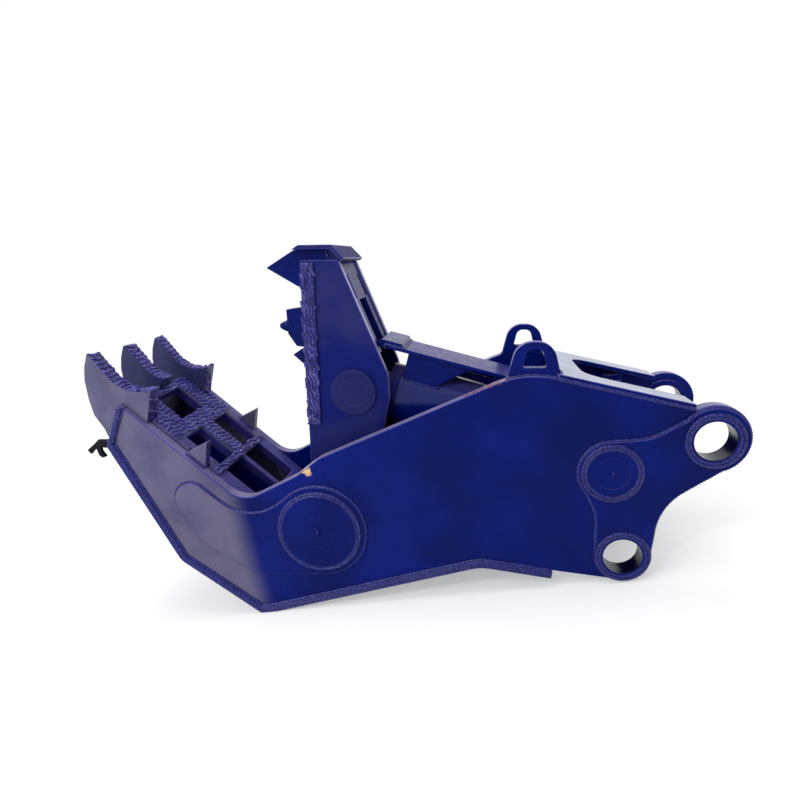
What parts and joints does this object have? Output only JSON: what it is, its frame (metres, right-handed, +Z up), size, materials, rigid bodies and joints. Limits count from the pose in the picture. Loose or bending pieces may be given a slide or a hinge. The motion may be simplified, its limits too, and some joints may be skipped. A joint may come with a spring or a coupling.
{
  "type": "hydraulic demolition crusher",
  "caption": "Hydraulic demolition crusher for an excavator arm: toothed lower jaw frame, hinged upper jaw and the cylinder that closes it.",
  "frame": {"origin": "middle of the arm pin bore, on its axis, halfway between the two ears", "axes": "+X back towards the excavator, +Y across the crusher to its far side, +Z up with the belly's flat level"},
  "size_m": [2.132, 0.5508, 1.2236],
  "materials": {
    "blue_paint": "gloss",
    "face_paint": "gloss",
    "hard_facing": "gloss over rough weld beads",
    "machined_steel": "machined",
    "bearing_bronze": "machined",
    "seal_rubber": "matt"
  },
  "bodies": {
    "frame": {"side_plate_near": "blue_paint", "side_plate_far": "blue_paint", "ear_plates": "blue_paint", "cheek_plates": "blue_paint", "arm_sleeves": "blue_paint", "link_sleeves": "blue_paint", "pivot_bosses": "blue_paint", "base_bosses": "blue_paint", "belly_plate": "blue_paint", "nose_plate": "blue_paint", "face_plate": "face_paint", "wear_plate": "hard_facing", "tooth_near": "hard_facing", "tooth_middle": "hard_facing", "tooth_far": "hard_facing", "side_fins": "hard_facing", "centre_web": "blue_paint", "front_rib": "blue_paint", "rear_ribs": "blue_paint", "top_plate": "blue_paint", "lifting_lugs": "blue_paint", "tie_hook": "blue_paint", "pivot_pin": "machined_steel", "base_pin": "machined_steel", "base_spacers": "blue_paint", "thrust_washers": "bearing_bronze", "frame_keepers": "machined_steel", "frame_keeper_bolts": "machined_steel", "port_block": "blue_paint", "port_adapters": "machined_steel", "grease_nipples": "machined_steel"},
    "upper_jaw": {"jaw_plate_near": "blue_paint", "jaw_plate_far": "blue_paint", "jaw_face_plate": "blue_paint", "jaw_back_plate": "blue_paint", "beaks": "blue_paint", "crown_block": "blue_paint", "crown_cap": "blue_paint", "wear_strips": "hard_facing", "crushing_tooth": "hard_facing", "low_tooth_bar": "hard_facing", "hub_tube": "blue_paint", "pivot_bushes": "bearing_bronze", "rod_pin": "machined_steel", "rod_pin_bosses": "blue_paint", "rod_pin_spacers": "blue_paint", "jaw_keeper": "machined_steel", "jaw_keeper_bolts": "machined_steel"},
    "rod": {"rod_eye": "blue_paint", "rod_bush": "bearing_bronze", "piston_rod": "machined_steel", "piston": "machined_steel", "piston_seals": "seal_rubber"},
    "barrel": {"barrel_tube": "blue_paint", "base_eye": "blue_paint", "gland_head": "machined_steel", "cylinder_guard": "blue_paint", "guard_nose": "hard_facing", "oil_tube": "blue_paint", "oil_fittings": "machined_steel"}
  },
  "joints": [
    {"name": "jaw_pivot", "type": "hinge", "parent": "frame", "child": "upper_jaw", "pos_m": [-1.256, 0, -0.143], "axis": [0, -1, 0], "range_deg": [0, 46]},
    {"name": "rod_pivot", "type": "hinge", "parent": "upper_jaw", "child": "rod", "pos_m": [-1.06387, 0, 0.29107], "axis": [0, -1, 0], "range_deg": [-39.31, 0]},
    {"name": "barrel_slide", "type": "slide", "parent": "rod", "child": "barrel", "axis": [0.909, 0, -0.4169], "range_m": [0, 0.3534]}
  ],
  "couplings": [
    {"joint": "rod_pivot", "follows": "jaw_pivot", "ratio": -0.8543},
    {"joint": "barrel_slide", "follows": "jaw_pivot", "m_per_rad": 0.44}
  ]
}
